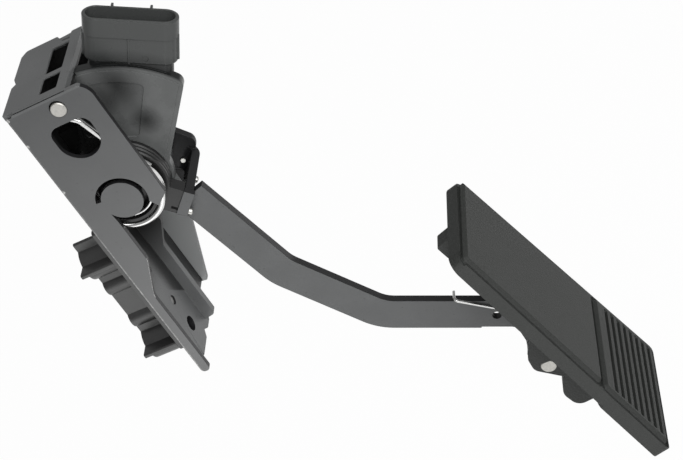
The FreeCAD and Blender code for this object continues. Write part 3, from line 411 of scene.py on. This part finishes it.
def housing_plastic():
    """Glossy plastic, with painted shade behind the flange's window, painted dark reflections in soft
    patches on its panel and painted shadow at the connector's neck.
    """
    finish = Finish("housing_plastic", (0.05, 0.053, 0.052), 0.28, specular=0.3)
    cloud = finish.noise(12, 3)
    finish.mottle(cloud, (0.105, 0.109, 0.108), (0.135, 0.139, 0.138), half=0.15)
    finish.layer(finish.along(X, WINDOW_SHADE_FADE, 0.95, 0.0), SHADE_AND_REFLECTION_DARK)
    for place, radius in REFLECTION_PATCHES:
        dark_reflection = finish.both(finish.around(place, radius, soft=1.0), 0.9)
        finish.layer(finish.both(dark_reflection, finish.ramp(cloud, 0.3, 0.6, 0.7, 1.0)), SHADE_AND_REFLECTION_DARK)
    neck = finish.around(HOUSING_CENTRE, NECK_RADIUS, soft=0.12)
    connector = finish.mix(neck, CONNECTOR_TONE, NECK_SHADOW)
    panel = finish.around(HOUSING_CENTRE, RIM_RADIUS, soft=0.02)
    finish.paint(finish.mix(panel, connector, finish.tone))
    finish.gloss(finish.spread(cloud, 0.22, 0.36))
    finish.bump(finish.noise(0.9), 0.01)
    return finish.material


def spacer_plastic():
    """Grained black plastic, with painted shade darkening the upper sides of its ribs."""
    finish = Finish("spacer_plastic", (0.025, 0.026, 0.025), 0.36, specular=0.9)
    pebble = finish.cells(0.6)
    cloud = finish.noise(20)
    finish.mottle(cloud, (0.030, 0.031, 0.030), (0.04, 0.041, 0.04), half=0.15)
    # Painted shade on faces that turn upwards
    finish.layer(finish.ramp(finish.towards(Z), 0.2, 0.5), (0.008, 0.008, 0.008))
    finish.layer(finish.ramp(pebble, 0.2, 0.9, 0.0, 0.08), (0.10, 0.10, 0.10))
    finish.gloss(finish.spread(cloud, 0.36, 0.48))
    finish.bump(pebble, 0.01)
    return finish.material


def grained_rubber():
    """Pebbled rubber, with painted light making the sides slightly paler than the tread."""
    finish = Finish("grained_rubber", (0.032, 0.034, 0.032), 0.55, specular=0.25)
    # Painted light: the sides, which face along y, paler than the tread
    finish.paint(finish.mix(finish.facing(Y), (0.027, 0.029, 0.027), (0.048, 0.050, 0.048)))
    finish.layer(finish.ramp(finish.noise(0.6), 0.40, 0.62, 0.0, 0.30), (0.075, 0.078, 0.075))
    finish.bump(finish.cells(0.9), 0.2)
    return finish.material


MATERIALS = {
    "coated_steel": bracket_steel(),
    "plated_steel": plated_steel(),
    "spring_steel": spring_steel(),
    "spacer_plastic": spacer_plastic(),
    "sensor_plastic": moulded("sensor_plastic", (0.026, 0.029, 0.028), roughness=0.30,
                              grain=0.7, depth=0.01, specular=0.6),
    "hub_plastic": moulded("hub_plastic", (0.012, 0.012, 0.012), roughness=0.34,
                           grain=0.6, depth=0.01),
    "bush_plastic": moulded("bush_plastic", (0.55, 0.53, 0.48), roughness=0.45,
                            grain=0.8, depth=0.01),
    "pad_rubber": grained_rubber(),
    "bumper_rubber": moulded("bumper_rubber", (0.02, 0.02, 0.02), roughness=0.7,
                             grain=0.8, depth=0.03),
    "board": moulded("board", (0.02, 0.12, 0.05), roughness=0.4, grain=1.0, depth=0.01),
    "magnet": moulded("magnet", (0.10, 0.10, 0.10), roughness=0.5, grain=0.5, depth=0.02),
    "terminal_brass": plated_steel(),
}
# Nodes whose finish differs from the rest of their slot
NODE_MATERIALS = {
    "pedal_arm": arm_steel(),
    "sensor_housing": housing_plastic(),
    "mounting_sleeves": shaded_bore_steel(),
    "arm_rivets": rivet_steel(),
    "locating_pins": moulded("pin_plastic", (0.20, 0.20, 0.195), roughness=0.4,
                             grain=0.6, depth=0.01),
}
NODE_SLOTS = {row["node"]: row["material_slot"] for row in frame["record"]["subparts"]}


# Helper for changes of shape

class Graph:
    """A geometry node group for a modifier, being built along one chain."""

    def __init__(self, name):
        self.group = bpy.data.node_groups.new(name, "GeometryNodeTree")
        for way in ("INPUT", "OUTPUT"):
            self.group.interface.new_socket("Geometry", in_out=way,
                                            socket_type="NodeSocketGeometry")
        self.shape = self.node("NodeGroupInput").outputs[0]

    def node(self, kind, **settings):
        node = self.group.nodes.new(kind)
        for name, value in settings.items():
            setattr(node, name, value)
        return node

    def feed(self, node, socket, value):
        if isinstance(value, bpy.types.NodeSocket):
            self.group.links.new(value, node.inputs[socket])
        else:
            node.inputs[socket].default_value = value

    def chain(self, node):
        """Passes the shape through one more node."""
        self.feed(node, 0, self.shape)
        self.shape = node.outputs[0]

    def placed(self, shape, centre):
        """The shape, moved from the frame's origin to a place in metres."""
        moved = self.node("GeometryNodeTransform")
        self.feed(moved, "Geometry", shape)
        self.feed(moved, "Translation", centre)
        return moved.outputs[0]

    def box(self, low, high):
        """Box between two corners."""
        low, high = from_pivot(low), from_pivot(high)
        cube = self.node("GeometryNodeMeshCube")
        self.feed(cube, "Size", high - low)
        return self.placed(cube.outputs[0], (low + high) / 2)

    def post(self, centre, radius, length):
        """Upright round post about its centre."""
        post = self.node("GeometryNodeMeshCylinder")
        self.feed(post, "Vertices", 48)
        self.feed(post, "Radius", radius * MM)
        self.feed(post, "Depth", length * MM)
        return self.placed(post.outputs[0], from_pivot(centre))

    def difference(self, whole, tool):
        """The whole without the tool."""
        cut = self.node("GeometryNodeMeshBoolean", operation="DIFFERENCE")
        self.feed(cut, 0, whole)
        self.feed(cut, 1, tool)
        return cut.outputs[0]

    def cut(self, tool):
        self.shape = self.difference(self.shape, tool)

    def fill(self, added):
        union = self.node("GeometryNodeMeshBoolean", operation="UNION")
        for shape in (added, self.shape):
            self.feed(union, 1, shape)
        self.shape = union.outputs[0]

    def done(self):
        self.feed(self.node("NodeGroupOutput"), 0, self.shape)
        return self.group


# Small real changes of shape

# The web's outer face, and the radius and upper end of its fold into the near flange
WEB_BACK = -24.1
FOLD_RADIUS = 1.8
FOLD_TOP = 63.6
# A level below the bracket, and how far the cutting box reaches past the faces that it cuts
BELOW = -125
PAST = 1
# The upright post whose side the fold keeps: its middle level and its length, past both ends
BEND_LEVEL = -30
BEND_LENGTH = 220
# The open seam between flange and top plate, where the solid has it and where it belongs
SOLID_SEAM = ((WEB_BACK, 3.0, 64.1), (3.4, 3.6, 67.3))
SEEN_SEAM = ((WEB_BACK + 0.6, 0.55, 66.0), (10.2, 1.65, 68))


def pressed_bracket():
    """Rounds the near flange's fold, and moves the top plate's seam out to it."""
    graph = Graph("pressed_bracket")
    inner = WEB_BACK + FOLD_RADIUS
    outside = graph.box((WEB_BACK - PAST, -PAST, BELOW), (inner, FOLD_RADIUS, FOLD_TOP))
    bend = graph.post((inner, FOLD_RADIUS, BEND_LEVEL), FOLD_RADIUS, BEND_LENGTH)
    graph.cut(graph.difference(outside, bend))
    graph.fill(graph.box(*SOLID_SEAM))
    graph.cut(graph.box(*SEEN_SEAM))
    return graph.done()


CHEEK_FOOT = ((9, 51.0, -33), (16.5, 55.0, -23))


def closed_cheek():
    """Carries the arm's far cheek down to the strap, so that no gap shows between them."""
    graph = Graph("closed_cheek")
    graph.fill(graph.box(*CHEEK_FOOT))
    return graph.done()


SHAPING = {"bracket": pressed_bracket, "pedal_arm": closed_cheek}
# Each node's usual rounding in millimetres
SOFT_EDGES = {
    "bracket": 0.25, "pedal_arm": 0.22, "mounting_spacer": 0.25, "sensor_housing": 0.15,
    "sensor_cover": 0.2, "foot_pad": 0.22, "lever_hub": 0.15, "rest_bumper": 0.4,
    "travel_bumper": 0.4, "mounting_sleeves": 0.2, "locating_pins": 0.3, "axle_clip": 0.12,
    "pad_pin_clip": 0.12, "near_bush": 0.15, "far_bush": 0.15, "connector_terminals": 0.1,
}
# Nodes swollen outwards, in millimetres
THICKENED = {"return_spring_outer": 0.35}
# Edges sharper than this are rounded, and faces that meet flatter than this are joined
EDGE_ANGLE = math.radians(32)
FLAT_ANGLE = math.radians(0.4)
# Corners nearer to each other than this are welded
WELD_GAP = 0.001


def edge_marks():
    """Marks the corner edges for the bevel, and shades smoothly."""
    graph = Graph("edge_marks")
    angle = graph.node("GeometryNodeInputMeshEdgeAngle")
    corner = graph.node("FunctionNodeCompare", operation="GREATER_THAN")
    graph.feed(corner, 0, angle.outputs["Unsigned Angle"])
    graph.feed(corner, 1, EDGE_ANGLE)
    store = graph.node("GeometryNodeStoreNamedAttribute", data_type="FLOAT", domain="EDGE")
    graph.feed(store, "Name", "bevel_weight_edge")
    graph.feed(store, "Value", corner.outputs[0])
    graph.chain(store)
    graph.chain(graph.node("GeometryNodeSetShadeSmooth", domain="FACE"))
    return graph.done()


def soften(name, width, marks):
    """Shapes a node where it needs that, and rounds its edges."""
    node = frame["nodes"][name]
    weld = node.modifiers.new("weld", "WELD")
    weld.merge_threshold = WELD_GAP * MM
    if name in SHAPING:
        shaped = node.modifiers.new("shaped", "NODES")
        shaped.node_group = SHAPING[name]()
    flat = node.modifiers.new("flat", "DECIMATE")
    flat.decimate_type = "DISSOLVE"
    flat.angle_limit = FLAT_ANGLE
    marked = node.modifiers.new("marks", "NODES")
    marked.node_group = marks
    bevel = node.modifiers.new("bevel", "BEVEL")
    bevel.limit_method = "WEIGHT"
    bevel.width = width * MM
    bevel.segments = 2
    bevel.use_clamp_overlap = False
    shading = node.modifiers.new("shading", "WEIGHTED_NORMAL")
    shading.keep_sharp = False


def thicken(name, growth):
    """Swells a node outwards."""
    swell = frame["nodes"][name].modifiers.new("swell", "DISPLACE")
    swell.strength = growth * MM
    swell.mid_level = 0.0


def dress_nodes():
    marks = edge_marks()
    for name, growth in THICKENED.items():
        thicken(name, growth)
    for name, width in SOFT_EDGES.items():
        soften(name, width, marks)
    for name, node in frame["nodes"].items():
        slot = NODE_SLOTS[name]
        node.data.materials.clear()
        node.data.materials.append(NODE_MATERIALS.get(name, MATERIALS[slot]))


# Stage

WHITE = (1, 1, 1, 1)
# In metres: the floor's width, and how far it lies below the part
FLOOR_WIDTH = 12
FLOOR_DROP = 0.35
# Share of the floor's seen brightness that is plain white, whatever shadow lies on it
FLOOR_WHITE = 0.97
WORLD_LIGHT = 0.35


def seen(tree, ways):
    """1 for rays of these kinds."""
    path = tree.nodes.new("ShaderNodeLightPath")
    share = path.outputs[ways[0]]
    for name in ways[1:]:
        most = tree.nodes.new("ShaderNodeMath")
        most.operation = "MAXIMUM"
        tree.links.new(share, most.inputs[0])
        tree.links.new(path.outputs[name], most.inputs[1])
        share = most.outputs[0]
    return share


def join_shaders(tree, share, first, second, output):
    """The first shader, with the second over it as far as the share says."""
    mixer = tree.nodes.new("ShaderNodeMixShader")
    for source, socket in zip((share, first.outputs[0], second.outputs[0]), mixer.inputs):
        tree.links.new(source, socket)
    tree.links.new(mixer.outputs[0], tree.nodes[output].inputs["Surface"])


def stage_material():
    """Pale floor that keeps a soft shadow and is otherwise white where it is seen."""
    finish = Finish("studio_floor", (0.93, 0.93, 0.93), 0.9)
    finish.mottle(finish.noise(50), (0.92, 0.92, 0.92), (0.94, 0.94, 0.94))
    glow = finish.node("ShaderNodeEmission", Color=WHITE, Strength=1.0)
    share = finish.both(seen(finish.tree, ("Is Camera Ray", "Is Glossy Ray")), FLOOR_WHITE)
    join_shaders(finish.tree, share, finish.shader, glow, "Material Output")
    return finish.material


def build_stage():
    low = cad_box[0][Z]
    bpy.ops.mesh.primitive_plane_add(size=FLOOR_WIDTH, location=(0, 0, low - FLOOR_DROP))
    floor = bpy.context.object
    floor.name = "floor"
    floor.data.materials.append(stage_material())


def build_world():
    """Even light all round, and plain white where the camera sees past the floor."""
    world = bpy.data.worlds.new("studio")
    bpy.context.scene.world = world
    world.use_nodes = True
    tree = world.node_tree
    light = tree.nodes["Background"]
    light.inputs["Color"].default_value = WHITE
    light.inputs["Strength"].default_value = WORLD_LIGHT
    white = tree.nodes.new("ShaderNodeBackground")
    white.inputs["Color"].default_value = WHITE
    white.inputs["Strength"].default_value = 1.0
    join_shaders(tree, seen(tree, ("Is Camera Ray",)), light, white, "World Output")


# Lamps and camera

# Each lamp's place, what it points at, its width in metres and its power in watts
LAMPS = {
    "key": ((0.9, -0.95, 0.95), (cad_box[0] + cad_box[1]) / 2, 1.6, 23),
    "low": ((-0.12, -0.41, -0.30), from_pivot((-15, 0, -100)), 0.3, 0.25),
}
# The photograph's camera: where it stands, which ways are right and down in its picture, and
# its lens and sensor in millimetres
CAMERA_PLACE = Vector((0.4090, -0.7204, 0.4614))
CAMERA_RIGHT = Vector((0.878, 0.0284, -0.4778))
CAMERA_DOWN = Vector((-0.3648, -0.6067, -0.7063))
LENS = 92.7
SENSOR = 36.0


def add_lamp(name, place, aim, width, power):
    light = bpy.data.lights.new(name, "AREA")
    light.shape = "SQUARE"
    light.size = width
    light.energy = power
    lamp = bpy.data.objects.new(name, light)
    bpy.context.collection.objects.link(lamp)
    lamp.location = place
    lamp.rotation_euler = (Vector(aim) - Vector(place)).to_track_quat("-Z", "Y").to_euler()


def build_camera():
    data = bpy.data.cameras.new("camera")
    data.lens = LENS
    data.sensor_width = SENSOR
    data.sensor_fit = "HORIZONTAL"
    camera = bpy.data.objects.new("camera", data)
    bpy.context.collection.objects.link(camera)
    right = CAMERA_RIGHT.normalized()
    up = -(CAMERA_DOWN - right * CAMERA_DOWN.dot(right)).normalized()
    turn = Matrix((right, up, right.cross(up))).transposed()
    camera.matrix_world = Matrix.Translation(CAMERA_PLACE) @ turn.to_4x4()
    bpy.context.scene.camera = camera


dress_nodes()
build_stage()
build_world()
for lamp_name, settings in LAMPS.items():
    add_lamp(lamp_name, *settings)
build_camera()

view = bpy.context.scene.view_settings
view.view_transform = "Standard"
